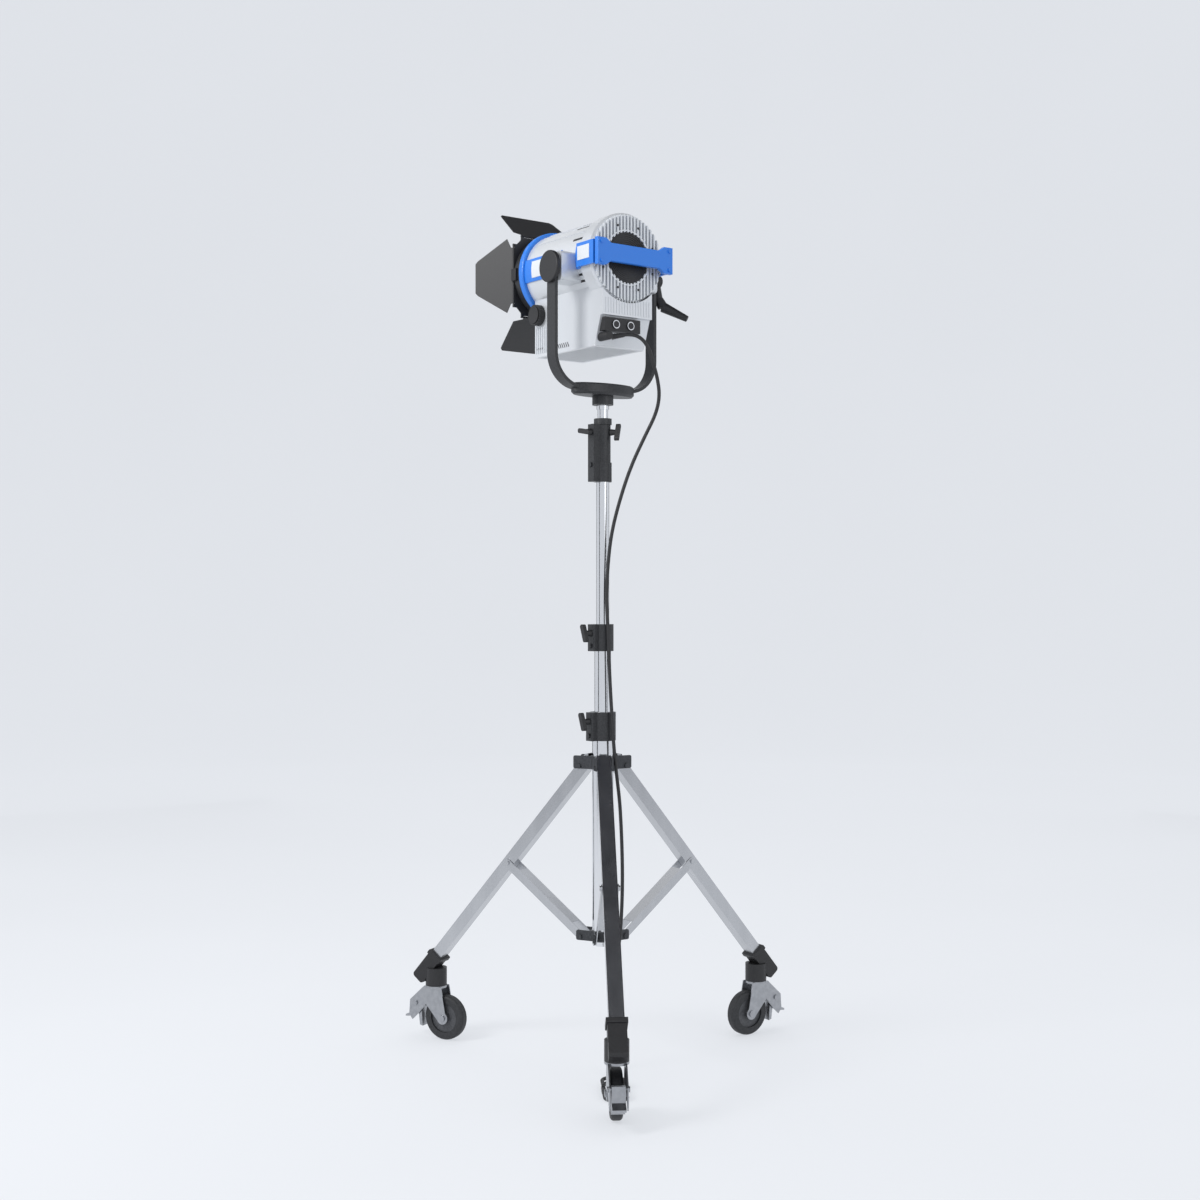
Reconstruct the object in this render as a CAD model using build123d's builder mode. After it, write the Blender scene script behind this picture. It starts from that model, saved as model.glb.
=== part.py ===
from build123d import *
import os
from math import atan2, cos, degrees, hypot, pi, radians, sin, tan

# LED fresnel spotlight on a three-legged wheeled stand. Millimetres, +Z up. The origin is on the
# floor under the stand's column. The lamp shines along -Y, and its focus knob is on the +X side.

os.makedirs("parts", exist_ok=True)

# ---------------------------------------------------------------- driving dimensions
fit = 0.05                   # radial clearance of a pin in the hole it turns in
gap = 0.5                    # clearance between pieces that move past each other
slide_clearance = 0.3        # radial clearance of a riser in its clamp

# column and risers
column_diameter, column_wall, column_bottom, column_top = 57.0, 2.5, 313.0, 900.0
lower_riser_diameter, lower_riser_bottom, lower_riser_top = 45.0, 500.0, 1135.0
upper_riser_diameter, upper_riser_bottom, upper_riser_top = 35.0, 860.0, 1622.0
riser_wall = 2.0
column_clamp_span, column_clamp_radius = (863.0, 939.0), 35.0
riser_clamp_span, riser_clamp_radius = (1103.0, 1175.0), 29.0
clamp_block_reach, clamp_block_width = 12.0, 30.0
clamp_screw_drop, clamp_bolt_rise = 24.0, 14.0
screw_diameter, bolt_head_radius, bolt_head = 8.0, 7.0, 4.0
receiver_bottom, receiver_top, receiver_radius = 1557.0, 1727.0, 21.0
receiver_block, receiver_foot = 40.0, 52.0
knob_height, lock_knob_azimuth = 1690.0, 125.0
spigot_diameter = 28.6

# legs, in the upright plane through each leg: distance from the column axis, then height
leg_azimuths = (57.0, 177.0, 297.0)
leg_lean = 40.0              # degrees between a leg and the column
leg_width, leg_depth, leg_wall = 38.0, 32.0, 2.0
leg_pivot, leg_pivot_offset = (60.9, 793.4), 8.0
leg_top_distance = 34.5      # the leg's top is cut upright here, clear of the bracket
leg_top_height = 826.0       # and level here
tube_end_height = 185.0
cap_span, cap_wall, cap_lip = (235.0, 166.0), 4.0, 3.5
brace_top_height, brace_foot = 515.0, (56.0, 335.0)
brace_depth, brace_wall, brace_open_end = 22.0, 2.0, 42.0
pivot_diameter, open_pivot_clearance = 8.0, 1.5
bracket_span, collar_span, ring_outer = (786.0, 821.0), (325.0, 352.0), 33.0
bracket_reach, collar_reach, ear_root, ear_wall = 77.0, 67.0, 8.0, 4.0

# casters
tyre_diameter, tyre_width, hub_diameter = 125.0, 30.0, 82.0
swivel_distance, swivel_radius, axle_distance = 527.0, 30.0, 494.0
socket_top, fork_top, fork_inner, fork_wall = 200.0, 150.0, 20.0, 3.0
axle_diameter, brake_pivot, rivet_radius = 10.0, (582.0, 98.0), 3.0

# yoke
tilt_height, arm_distance = 2117.0, 165.0
strap_width, strap_thickness, strap_height, strap_bend = 37.0, 9.0, 1805.0, 88.0
tilt_pin_radius, hub_disc_radius, hub_disc_thickness = 8.0, 42.0, 10.0
yoke_plate_bottom, yoke_plate_top, yoke_collar_drop = 1788.0, 1818.0, 24.0

# lamp head
axis_height = 2142.0         # the optical axis
barrel_radius, barrel_wall, barrel_front, barrel_back = 112.0, 3.0, -206.0, 58.0
ring_radius, ring_front = 122.0, -228.0
bezel_radius, bezel_front, bezel_bore, bezel_step = 114.0, -258.0, 100.0, -245.0
lens_radius, lens_front, lens_back, lens_zones = 90.0, -244.0, -230.0, 8
cover_radius, cover_plate, cover_back = 119.0, 98.0, 104.0
rib_pitch, rib_width, rib_height, rib_count = 11.0, 5.0, 8.0, 21
fan_radius = 67.0
rail_half_height, rail_wall, boss_half_length = 31.0, 4.0, 34.0
handle_front, handle_back, handle_rise = 128.0, 141.0, 5.0
handle_reach, pad_inner, bar_start = 124.0, 96.0, 80.0
pad_half_height, bar_half_height = 35.0, 23.5
box_bottom, box_front, box_back, box_half_width, box_wall = 1911.0, -204.0, 75.0, 81.5, 2.5
step_height, step_back, panel_back, box_top = 1986.0, 100.0, 110.0, 2066.0
knob_radius, knob_depth, knob_place = 28.5, 18.0, (-182.0, 2022.0)

# barn doors
frame_front, frame_thickness, frame_half, frame_cut, frame_bore = -266.0, 4.0, 109.0, 28.0, 92.0
hinge_distance, hinge_y, knuckle_radius, hinge_pin_radius = 113.0, -264.0, 3.0, 1.5
leaf_thickness, tongue_half, lug_span = 1.6, 78.0, (80.0, 88.0)
side_leaf = (103.0, 49.0, 120.0, 29.0)       # hinge half edge, outer half edge, length, flare in degrees
cross_leaf = (103.0, 89.0, 134.0, 36.0)

# mains lead: the points of its route, and the hank that holds the rest of it
lead_diameter = 9.5
lead_route = [
    (44, 108, 1931), (15, 130, 1941), (-16, 147, 1931), (-37, 154, 1899), (-50, 154, 1866),
    (-68, 150, 1828), (-82, 143, 1781), (-81, 128, 1734), (-63, 104, 1677), (-37, 76, 1597),
    (-16, 54, 1507), (-1, 37, 1419), (5, 29, 1333), (9, 28, 1246), (11, 37, 1172),
    (9, 39, 1101), (6, 40, 1021), (4, 46, 933), (1, 49, 862), (-8, 48, 786),
    (-16, 54, 706), (-17, 60, 627), (-15, 67, 548), (-10, 74, 475), (-2, 81, 413),
    (9, 89, 352), (20, 90, 296), (28, 86, 242), (32, 79, 190), (33, 74, 140),
    (34, 74, 94), (42, 86, 52), (58, 111, 22), (79, 144, 5.4), (98.2, 172.9, 4.8),
]
hank_center, hank_azimuth = (145.0, 245.0), 57.0
hank_length, hank_width, hank_height = 172.0, 66.0, 21.0
plug_length, plug_width, plug_height, plug_pin_length = 56.0, 34.0, 26.0, 18.0

# ---------------------------------------------------------------- helpers

def write(name, *builders):
    """Write one node's STEP file. A node of several pieces is written as a group of solids."""
    if len(builders) == 1:
        node = builders[0].part
    else:
        node = Compound([solid for builder in builders for solid in builder.part.solids()])
    node.label = name
    export_step(node, f"parts/{name}.step")

def radial_plane(azimuth, offset=0.0):
    """The upright plane through the column axis: local X runs outward and local Y is up."""
    a = radians(azimuth)
    return Plane(origin=(0, 0, 0), x_dir=(cos(a), sin(a), 0), z_dir=(sin(a), -cos(a), 0)).offset(offset)

def side_plane(x, side=1):
    """The plane at that X that faces outward on that side, with local Y up."""
    return Plane(origin=(x, 0, 0), x_dir=(0, side, 0), z_dir=(side, 0, 0))

def back_plane(y):
    """The plane across the optical axis at that Y, facing +Y: local X is -X and local Y is up."""
    return Plane(origin=(0, y, axis_height), x_dir=(-1, 0, 0), z_dir=(0, 1, 0))

# ---------------------------------------------------------------- column and risers

def upright_tube(diameter, wall, bottom, top):
    """A round tube on the column axis."""
    with BuildPart() as tube:
        with BuildSketch(Plane.XY.offset(bottom)):
            Circle(diameter / 2)
            Circle(diameter / 2 - wall, mode=Mode.SUBTRACT)
        extrude(amount=top - bottom)
    return tube

def riser_clamp(span, radius, outer_diameter, outer_top, inner_diameter):
    """A clamp fixed on the outer tube's end. The inner tube slides through its top, and a block on
    its +X side takes the clamping screw and a bolt."""
    bottom, top = span
    reach = radius + clamp_block_reach
    with BuildPart() as clamp:
        with BuildSketch(Plane.XY.offset(bottom)):
            Circle(radius)
            with Locations((reach / 2, 0)):
                Rectangle(reach, clamp_block_width)
        extrude(amount=top - bottom)
        fillet(clamp.edges().filter_by(Axis.Z).group_by(Axis.X)[-1], radius=4.0)
        with BuildSketch(Plane.XY.offset(bottom)):
            Circle(outer_diameter / 2)
        extrude(amount=outer_top - bottom, mode=Mode.SUBTRACT)
        with BuildSketch(Plane.XY.offset(bottom)):
            Circle(inner_diameter / 2 + slide_clearance)
        extrude(amount=top - bottom, mode=Mode.SUBTRACT)
        with BuildSketch(side_plane(inner_diameter / 2)):
            with Locations((0, top - clamp_screw_drop)):
                Circle(screw_diameter / 2 + fit)
        extrude(amount=reach, mode=Mode.SUBTRACT)
        with BuildSketch(side_plane(reach)):
            with Locations((0, bottom + clamp_bolt_rise)):
                RegularPolygon(bolt_head_radius, 6)
        extrude(amount=bolt_head)
    return clamp

def tee_handle(azimuth, start, height, shank, turn):
    """A tee handle on a level axis: its shank runs inward from start, its cross bar is outside."""
    a = radians(azimuth)
    out = Plane(origin=(start * cos(a), start * sin(a), height), x_dir=(-sin(a), cos(a), 0),
                z_dir=(cos(a), sin(a), 0))
    neck_radius, neck_length, bar_length, bar_width, bar_depth = 9.0, 15.0, 50.0, 13.0, 11.0
    with BuildPart() as handle:
        with BuildSketch(out.offset(-shank)):
            Circle(screw_diameter / 2)
        extrude(amount=shank + 2 * gap)
        with BuildSketch(out.offset(gap)):
            Circle(neck_radius)
        extrude(amount=neck_length, taper=8)
        with BuildSketch(out.offset(neck_length - gap)):
            SlotOverall(bar_length, bar_width, rotation=90 + turn)
        extrude(amount=bar_depth)
    return handle

write("column_tube", upright_tube(column_diameter, column_wall, column_bottom, column_top))
write("riser_lower", upright_tube(lower_riser_diameter, riser_wall, lower_riser_bottom, lower_riser_top))
write("riser_upper", upright_tube(upper_riser_diameter, riser_wall, upper_riser_bottom, upper_riser_top))
write("column_clamp", riser_clamp(column_clamp_span, column_clamp_radius, column_diameter, column_top,
                                  lower_riser_diameter))
write("riser_clamp", riser_clamp(riser_clamp_span, riser_clamp_radius, lower_riser_diameter,
                                 lower_riser_top, upper_riser_diameter))
column_block = column_clamp_radius + clamp_block_reach
riser_block = riser_clamp_radius + clamp_block_reach
write("column_clamp_handle",
      tee_handle(0, column_block, column_clamp_span[1] - clamp_screw_drop,
                 column_block - lower_riser_diameter / 2 - gap, 20.0))
write("riser_clamp_handle",
      tee_handle(0, riser_block, riser_clamp_span[1] - clamp_screw_drop,
                 riser_block - upper_riser_diameter / 2 - gap, 20.0))

# the receiver: a casting on the upper riser with a socket for the yoke's spigot
receiver_collar_radius, receiver_collar = 24.0, 16.0
lock_plane = Plane(origin=(0, 0, knob_height),
                   x_dir=(-sin(radians(lock_knob_azimuth)), cos(radians(lock_knob_azimuth)), 0),
                   z_dir=(cos(radians(lock_knob_azimuth)), sin(radians(lock_knob_azimuth)), 0))
with BuildPart() as receiver:
    with BuildSketch(Plane.XY.offset(receiver_bottom)):
        Circle(receiver_collar_radius)
    extrude(amount=receiver_foot)
    with BuildSketch(Plane.XY.offset(receiver_bottom)):
        Circle(receiver_radius)
        with Locations((receiver_block / 2, 0)):
            Rectangle(receiver_block, 26.0)
    extrude(amount=receiver_top - receiver_collar - receiver_bottom)
    with BuildSketch(Plane.XY.offset(receiver_top - receiver_collar)):
        Circle(receiver_collar_radius)
    extrude(amount=receiver_collar)
    with BuildSketch(Plane.XY.offset(receiver_bottom)):
        Circle(upper_riser_diameter / 2)
    extrude(amount=upper_riser_top - receiver_bottom, mode=Mode.SUBTRACT)
    with BuildSketch(Plane.XY.offset(upper_riser_top)):
        Circle(spigot_diameter / 2 + fit)
    extrude(amount=receiver_top - upper_riser_top, mode=Mode.SUBTRACT)
    with BuildSketch(side_plane(0)):
        with Locations((0, knob_height)):
            Circle(screw_diameter / 2 + fit)
    extrude(amount=receiver_block, mode=Mode.SUBTRACT)
    with BuildSketch(lock_plane):
        Circle(screw_diameter / 2 + fit)
    extrude(amount=receiver_block, mode=Mode.SUBTRACT)
    with BuildSketch(side_plane(receiver_block)):
        with Locations((0, receiver_bottom + 45.0)):
            RegularPolygon(bolt_head_radius, 6)
    extrude(amount=bolt_head)
write("receiver", receiver)
spigot_reach = spigot_diameter / 2 + gap
write("receiver_knob", tee_handle(0, receiver_block, knob_height, receiver_block - spigot_reach, 80.0))
write("spigot_lock_knob", tee_handle(lock_knob_azimuth, receiver_radius + gap, knob_height,
                                     receiver_radius + gap - spigot_reach, -25.0))

# ---------------------------------------------------------------- legs and braces

lean = radians(leg_lean)
leg_start = (leg_pivot[0] - leg_pivot_offset * cos(lean), leg_pivot[1] - leg_pivot_offset * sin(lean))
ear_inner = leg_width / 2 + 1.0
collar_ear_inner = ear_inner + brace_wall + 1.0

def on_leg(height):
    """The point of a leg's centreline at that height, as distance and height."""
    return leg_start[0] + (leg_start[1] - height) * tan(lean), height

def leg_stretch(start_height, end_height):
    """The middle and the length of a leg's centreline between two heights."""
    start, end = on_leg(start_height), on_leg(end_height)
    return ((start[0] + end[0]) / 2, (start[1] + end[1]) / 2), (start_height - end_height) / cos(lean)

def eared_ring(span, reach, ear_start, bore, pivot):
    """A ring round the column with a drilled pair of ears for each leg."""
    bottom, top = span
    with BuildPart() as ring:
        with BuildSketch(Plane.XY.offset(bottom)):
            Circle(ring_outer)
        extrude(amount=top - bottom)
        for azimuth in leg_azimuths:
            for start in (ear_start, -ear_start - ear_wall):
                with BuildSketch(radial_plane(azimuth, start)):
                    with Locations(((reach + ear_root) / 2, (bottom + top) / 2)):
                        RectangleRounded(reach - ear_root, top - bottom, 5.0)
                extrude(amount=ear_wall)
        with BuildSketch(Plane.XY.offset(bottom)):
            Circle(bore)
        extrude(amount=top - bottom, mode=Mode.SUBTRACT)
        for azimuth in leg_azimuths:
            with BuildSketch(radial_plane(azimuth)):
                with Locations(pivot):
                    Circle(pivot_diameter / 2)
            extrude(amount=ear_start + ear_wall + gap, both=True, mode=Mode.SUBTRACT)
    return ring

def pivot_bolts(pivot, half_length):
    """Three headed bolts, one through each pair of ears."""
    with BuildPart() as bolts:
        for azimuth in leg_azimuths:
            with BuildSketch(radial_plane(azimuth)):
                with Locations(pivot):
                    Circle(pivot_diameter / 2)
            extrude(amount=half_length, both=True)
            for start in (half_length, -half_length - bolt_head):
                with BuildSketch(radial_plane(azimuth, start)):
                    with Locations(pivot):
                        Circle(bolt_head_radius)
                extrude(amount=bolt_head)
    return bolts

write("leg_bracket",
      eared_ring(bracket_span, bracket_reach, ear_inner, column_diameter / 2 + fit, leg_pivot),
      pivot_bolts(leg_pivot, ear_inner + ear_wall))
write("brace_collar",
      eared_ring(collar_span, collar_reach, collar_ear_inner, column_diameter / 2, brace_foot),
      pivot_bolts(brace_foot, collar_ear_inner + ear_wall))

brace_top = on_leg(brace_top_height)

def leg_tube(azimuth):
    """A rectangular tube whose top end is cut upright and level, clear of the bracket's ring."""
    middle, length = leg_stretch(bracket_span[1] + 12.0, tube_end_height)
    cut = 120.0
    with BuildPart() as tube:
        with BuildSketch(radial_plane(azimuth)):
            with Locations(middle):
                Rectangle(length, leg_depth, rotation=leg_lean - 90)
        extrude(amount=leg_width / 2, both=True)
        with BuildSketch(radial_plane(azimuth)):
            with Locations(middle):
                Rectangle(length + 10.0, leg_depth - 2 * leg_wall, rotation=leg_lean - 90)
        extrude(amount=leg_width / 2 - leg_wall, both=True, mode=Mode.SUBTRACT)
        with BuildSketch(radial_plane(azimuth)):
            with Locations((leg_top_distance - cut / 2, leg_top_height)):
                Rectangle(cut, 2 * cut)
            with Locations((leg_top_distance, leg_top_height + cut / 2)):
                Rectangle(cut, cut)
            with Locations(leg_pivot):
                Circle(pivot_diameter / 2 + fit)
            with Locations(brace_top):
                Circle(pivot_diameter / 2 + open_pivot_clearance)
        extrude(amount=leg_width, both=True, mode=Mode.SUBTRACT)
    return tube

def leg_cap(azimuth):
    """A sleeve over the leg's end, with a lip at its mouth and the caster's socket under it."""
    depth, width = leg_depth + 2 * cap_wall, leg_width + 2 * cap_wall
    sleeve_middle, sleeve_length = leg_stretch(*cap_span)
    bore_middle, bore_length = leg_stretch(cap_span[0] + 20.0, tube_end_height)
    with BuildPart() as cap:
        with BuildSketch(radial_plane(azimuth)):
            with Locations(sleeve_middle):
                RectangleRounded(sleeve_length, depth, 9.0, rotation=leg_lean - 90)
        extrude(amount=width / 2, both=True)
        with BuildSketch(radial_plane(azimuth)):
            with Locations(on_leg(cap_span[0])):
                RectangleRounded(14.0, depth + 2 * cap_lip, 3.0, rotation=leg_lean - 90)
        extrude(amount=width / 2 + cap_lip, both=True)
        with BuildSketch(Plane.XY.offset(fork_top + gap)):
            with PolarLocations(swivel_distance, 1, start_angle=azimuth):
                Circle(swivel_radius)
        extrude(amount=socket_top - fork_top - gap)
        with BuildSketch(radial_plane(azimuth)):
            with Locations(bore_middle):
                Rectangle(bore_length, leg_depth, rotation=leg_lean - 90)
        extrude(amount=leg_width / 2, both=True, mode=Mode.SUBTRACT)
    return cap

def brace(azimuth):
    """A channel open below. Its side walls run on past the web to the pivots at both ends."""
    run, rise = brace_top[0] - brace_foot[0], brace_top[1] - brace_foot[1]
    along, length = atan2(rise, run), hypot(run, rise)
    middle = (brace_foot[0] + run / 2, brace_foot[1] + rise / 2)
    lift = (brace_depth - brace_wall) / 2
    web = (middle[0] - lift * sin(along), middle[1] + lift * cos(along))
    with BuildPart() as channel:
        for start in (ear_inner, -ear_inner - brace_wall):
            with BuildSketch(radial_plane(azimuth, start)):
                with Locations(middle):
                    SlotCenterToCenter(length, brace_depth, rotation=degrees(along))
            extrude(amount=brace_wall)
        with BuildSketch(radial_plane(azimuth)):
            with Locations(web):
                Rectangle(length - 2 * brace_open_end, brace_wall, rotation=degrees(along))
        extrude(amount=ear_inner + brace_wall / 2, both=True)
        with BuildSketch(radial_plane(azimuth)):
            with Locations(brace_foot):
                Circle(pivot_diameter / 2 + fit)
        extrude(amount=leg_width, both=True, mode=Mode.SUBTRACT)
        with BuildSketch(radial_plane(azimuth)):
            with Locations(brace_top):
                Circle(pivot_diameter / 2)
        extrude(amount=ear_inner + brace_wall, both=True)
        for start in (ear_inner + brace_wall, -ear_inner - brace_wall - bolt_head):
            with BuildSketch(radial_plane(azimuth, start)):
                with Locations(brace_top):
                    Circle(bolt_head_radius)
            extrude(amount=bolt_head)
    return channel

# ---------------------------------------------------------------- casters

axle_point = (axle_distance, tyre_diameter / 2)

def caster_fork(azimuth):
    """A pressed fork: a top disc, two side plates that run out to the brake, axle and rivet."""
    half = fork_inner + fork_wall
    with BuildPart() as fork:
        with BuildSketch(Plane.XY.offset(fork_top)):
            with PolarLocations(swivel_distance, 1, start_angle=azimuth):
                Circle(swivel_radius)
        extrude(amount=-2 * fork_wall)
        for start in (fork_inner, -half):
            with BuildSketch(radial_plane(azimuth, start)):
                Polygon((498, 149), (553, 149), (600, 106), (603, 64), (592, 50), (571, 70),
                        (547, 98), (510, 56), (480, 56), align=None)
                with Locations(axle_point):
                    Circle(17.0)
            extrude(amount=fork_wall)
        for place, radius in ((axle_point, axle_diameter / 2), (brake_pivot, rivet_radius)):
            with BuildSketch(radial_plane(azimuth)):
                with Locations(place):
                    Circle(radius)
            extrude(amount=half, both=True)
            for start in (half, -half - bolt_head):
                with BuildSketch(radial_plane(azimuth, start)):
                    with Locations(place):
                        Circle(radius + bolt_head)
                extrude(amount=bolt_head)
    return fork

def caster_hub(azimuth):
    """A hub with a web inside the tyre and a longer boss round the axle."""
    boss_radius, web_half = 14.0, 9.0
    with BuildPart() as hub:
        for radius, half in ((hub_diameter / 2, web_half), (boss_radius, fork_inner - gap)):
            with BuildSketch(radial_plane(azimuth)):
                with Locations(axle_point):
                    Circle(radius)
            extrude(amount=half, both=True)
        with BuildSketch(radial_plane(azimuth)):
            with Locations(axle_point):
                Circle(axle_diameter / 2 + fit)
        extrude(amount=fork_inner, both=True, mode=Mode.SUBTRACT)
    return hub

def caster_tyre(azimuth):
    """A solid rubber tyre with rounded shoulders."""
    with BuildPart() as tyre:
        with BuildSketch(radial_plane(azimuth)):
            with Locations(axle_point):
                Circle(tyre_diameter / 2)
        extrude(amount=tyre_width / 2, both=True)
        fillet(tyre.edges().filter_by(GeomType.CIRCLE), radius=9.0)
        with BuildSketch(radial_plane(azimuth)):
            with Locations(axle_point):
                Circle(hub_diameter / 2)
        extrude(amount=tyre_width, both=True, mode=Mode.SUBTRACT)
    return tyre

def brake_pedal(azimuth):
    """A rocking pedal with a tread outside the fork and a shoe that reaches down to the tyre."""
    half = fork_inner - gap
    with BuildPart() as pedal:
        with BuildSketch(radial_plane(azimuth)):
            Polygon((571, 104), (590, 106), (596, 70), (619, 60), (619, 55), (594, 58), (582, 84),
                    (577, 84), (571, 36), (562, 33), (565, 84), align=None)
        extrude(amount=half - fork_wall, both=True)
        with BuildSketch(radial_plane(azimuth)):
            with Locations(brake_pivot):
                Circle(rivet_radius + fit)
        extrude(amount=half, both=True, mode=Mode.SUBTRACT)
    return pedal

for number, azimuth in enumerate(leg_azimuths, start=1):
    write(f"leg_{number}", leg_tube(azimuth))
    write(f"leg_cap_{number}", leg_cap(azimuth))
    write(f"brace_{number}", brace(azimuth))
    write(f"caster_fork_{number}", caster_fork(azimuth))
    write(f"caster_hub_{number}", caster_hub(azimuth))
    write(f"caster_tyre_{number}", caster_tyre(azimuth))
    write(f"brake_pedal_{number}", brake_pedal(azimuth))

# ---------------------------------------------------------------- yoke

arm_inner, arm_outer = arm_distance - strap_thickness / 2, arm_distance + strap_thickness / 2

with BuildPart() as yoke_frame:
    with BuildSketch(Plane.XZ):
        with BuildLine():
            FilletPolyline((-arm_distance, tilt_height - strap_thickness), (-arm_distance, strap_height),
                           (arm_distance, strap_height), (arm_distance, tilt_height - strap_thickness),
                           radius=strap_bend)
        trace(line_width=strap_thickness)
    extrude(amount=strap_width / 2, both=True)
    for side in (1, -1):
        with BuildSketch(side_plane(side * arm_distance, side)):
            with Locations((0, tilt_height)):
                Circle(strap_width / 2)
        extrude(amount=strap_thickness / 2, both=True)
        with BuildSketch(side_plane(side * arm_distance, side)):
            with Locations((0, tilt_height)):
                Circle(tilt_pin_radius + fit)
        extrude(amount=strap_thickness, both=True, mode=Mode.SUBTRACT)
write("yoke_frame", yoke_frame)

# the plate holds the strap from below and above, with a collar under it
plate_half_length, plate_half_width, yoke_collar_radius, spigot_depth = 100.0, 44.0, 28.5, 12.0
with BuildPart() as yoke_plate:
    with BuildSketch(Plane.XY.offset(yoke_plate_bottom)):
        Ellipse(plate_half_length, plate_half_width)
    extrude(amount=yoke_plate_top - yoke_plate_bottom)
    chamfer(yoke_plate.faces().sort_by(Axis.Z)[0].edges(), length=6.0)
    chamfer(yoke_plate.faces().sort_by(Axis.Z)[-1].edges(), length=4.0)
    add(yoke_frame.part, mode=Mode.SUBTRACT)
    with BuildSketch(Plane.XY.offset(yoke_plate_bottom)):
        Circle(yoke_collar_radius)
    extrude(amount=-yoke_collar_drop)
    with BuildSketch(Plane.XY.offset(yoke_plate_bottom - yoke_collar_drop)):
        Circle(spigot_diameter / 2)
    extrude(amount=yoke_collar_drop + spigot_depth, mode=Mode.SUBTRACT)
write("yoke_plate", yoke_plate)

spigot_bottom, spigot_flange, spigot_groove = upper_riser_top + 3.0, (1751.0, 1761.0), (1672.0, 1706.0)
with BuildPart() as spigot:
    with BuildSketch(Plane.XY.offset(spigot_bottom)):
        Circle(spigot_diameter / 2)
    extrude(amount=yoke_plate_bottom + spigot_depth - spigot_bottom)
    chamfer(spigot.faces().sort_by(Axis.Z)[0].edges(), length=2.0)
    with BuildSketch(Plane.XY.offset(spigot_flange[0])):
        Circle(17.0)
    extrude(amount=spigot_flange[1] - spigot_flange[0])
    with BuildSketch(Plane.XY.offset(spigot_groove[0])):
        Circle(spigot_diameter)
        Circle(12.0, mode=Mode.SUBTRACT)
    extrude(amount=spigot_groove[1] - spigot_groove[0], mode=Mode.SUBTRACT)
write("spigot", spigot)

# a round cover on the outside of the +X arm
with BuildPart() as yoke_hub:
    with BuildSketch(side_plane(arm_outer)):
        with Locations((0, tilt_height)):
            Circle(hub_disc_radius)
    extrude(amount=hub_disc_thickness)
    fillet(yoke_hub.faces().sort_by(Axis.X)[-1].edges(), radius=3.0)
write("yoke_hub", yoke_hub)

# the tilt lock's ratchet lever on the outside of the -X arm
lever_start, lever_body, lever_radius = -arm_outer - gap, 24.0, 19.0
with BuildPart() as tilt_lever:
    with BuildSketch(side_plane(lever_start, -1)):
        with Locations((0, tilt_height)):
            Circle(lever_radius)
    extrude(amount=lever_body)
    with BuildLine() as lever_line:
        FilletPolyline((lever_start - 12.0, 2.0, tilt_height - 12.0), (lever_start - 18.0, 14.0, 2056.0),
                       (lever_start - 70.0, 66.0, 2011.0), radius=16.0)
    with BuildSketch(Plane(origin=lever_line.line @ 0, z_dir=lever_line.line % 0)):
        Ellipse(10.0, 7.5)
    sweep(path=lever_line.line)
write("tilt_lever", tilt_lever)

# ---------------------------------------------------------------- lamp housing

rod_distance, rod_radius, flange_wall, flange_bore, boss_start = 92.0, 4.0, 5.0, 84.0, 60.0
with BuildPart() as barrel:
    with BuildSketch(back_plane(barrel_front)):
        Circle(barrel_radius)
    extrude(amount=barrel_back - barrel_front)
    # the bosses of the tilt pivots, each with its pin
    for side in (1, -1):
        with BuildSketch(side_plane(side * boss_start, side)):
            with Locations((0, tilt_height)):
                RectangleRounded(2 * boss_half_length, 78.0, 10.0)
        extrude(amount=arm_inner - gap - boss_start)
        with BuildSketch(side_plane(side * barrel_radius, side)):
            with Locations((0, tilt_height)):
                Circle(tilt_pin_radius)
        extrude(amount=arm_outer - gap - barrel_radius)
    with BuildSketch(back_plane(barrel_front)):
        Circle(barrel_radius - barrel_wall)
    extrude(amount=barrel_back - barrel_front, mode=Mode.SUBTRACT)
    # a flange inside each end, and the two rods between them that guide the light engine
    for start in (barrel_front, barrel_back - flange_wall):
        with BuildSketch(back_plane(start)):
            Circle(barrel_radius - barrel_wall)
            Circle(flange_bore, mode=Mode.SUBTRACT)
        extrude(amount=flange_wall)
    with BuildSketch(back_plane(barrel_front)):
        with Locations((rod_distance, 0), (-rod_distance, 0)):
            Circle(rod_radius)
    extrude(amount=barrel_back - barrel_front)
write("barrel", barrel)

def rail_profile(side):
    """The curved section of one side rail."""
    with BuildSketch() as profile:
        Circle(barrel_radius + rail_wall)
        Circle(barrel_radius, mode=Mode.SUBTRACT)
        with Locations((side * barrel_radius, 0)):
            Rectangle(60.0, 2 * rail_half_height, mode=Mode.INTERSECT)
    return profile.sketch

# the front ring and the two rails that run back from it, past the tilt bosses, to the rear handle
rail_end_thickness = 7.0
rail_end_distance = cover_radius + gap + rail_end_thickness / 2
with BuildPart() as side_rails:
    with BuildSketch(back_plane(ring_front)):
        Circle(ring_radius)
        Circle(bezel_radius - 6.0, mode=Mode.SUBTRACT)
    extrude(amount=barrel_front - ring_front)
    fillet(side_rails.edges().filter_by(GeomType.CIRCLE).sort_by(SortBy.RADIUS)[-2:], radius=5.0)
    for side in (1, -1):
        for start, end in ((barrel_front - rail_wall, -boss_half_length), (boss_half_length, barrel_back)):
            with BuildSketch(back_plane(start)):
                add(rail_profile(side))
            extrude(amount=end - start)
        with BuildSketch(back_plane(barrel_back - rail_wall)):
            with Locations((side * rail_end_distance, 0)):
                Rectangle(rail_end_thickness, 2 * rail_half_height)
        extrude(amount=handle_front - barrel_back + rail_wall)
        with BuildSketch(back_plane(barrel_back - rail_wall)):
            with Locations((side * (rail_end_distance - rail_end_thickness), 0)):
                Rectangle(2 * rail_end_thickness, 2 * rail_half_height)
            Circle(barrel_radius, mode=Mode.SUBTRACT)
        extrude(amount=rail_wall)
write("side_rails", side_rails)

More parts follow.
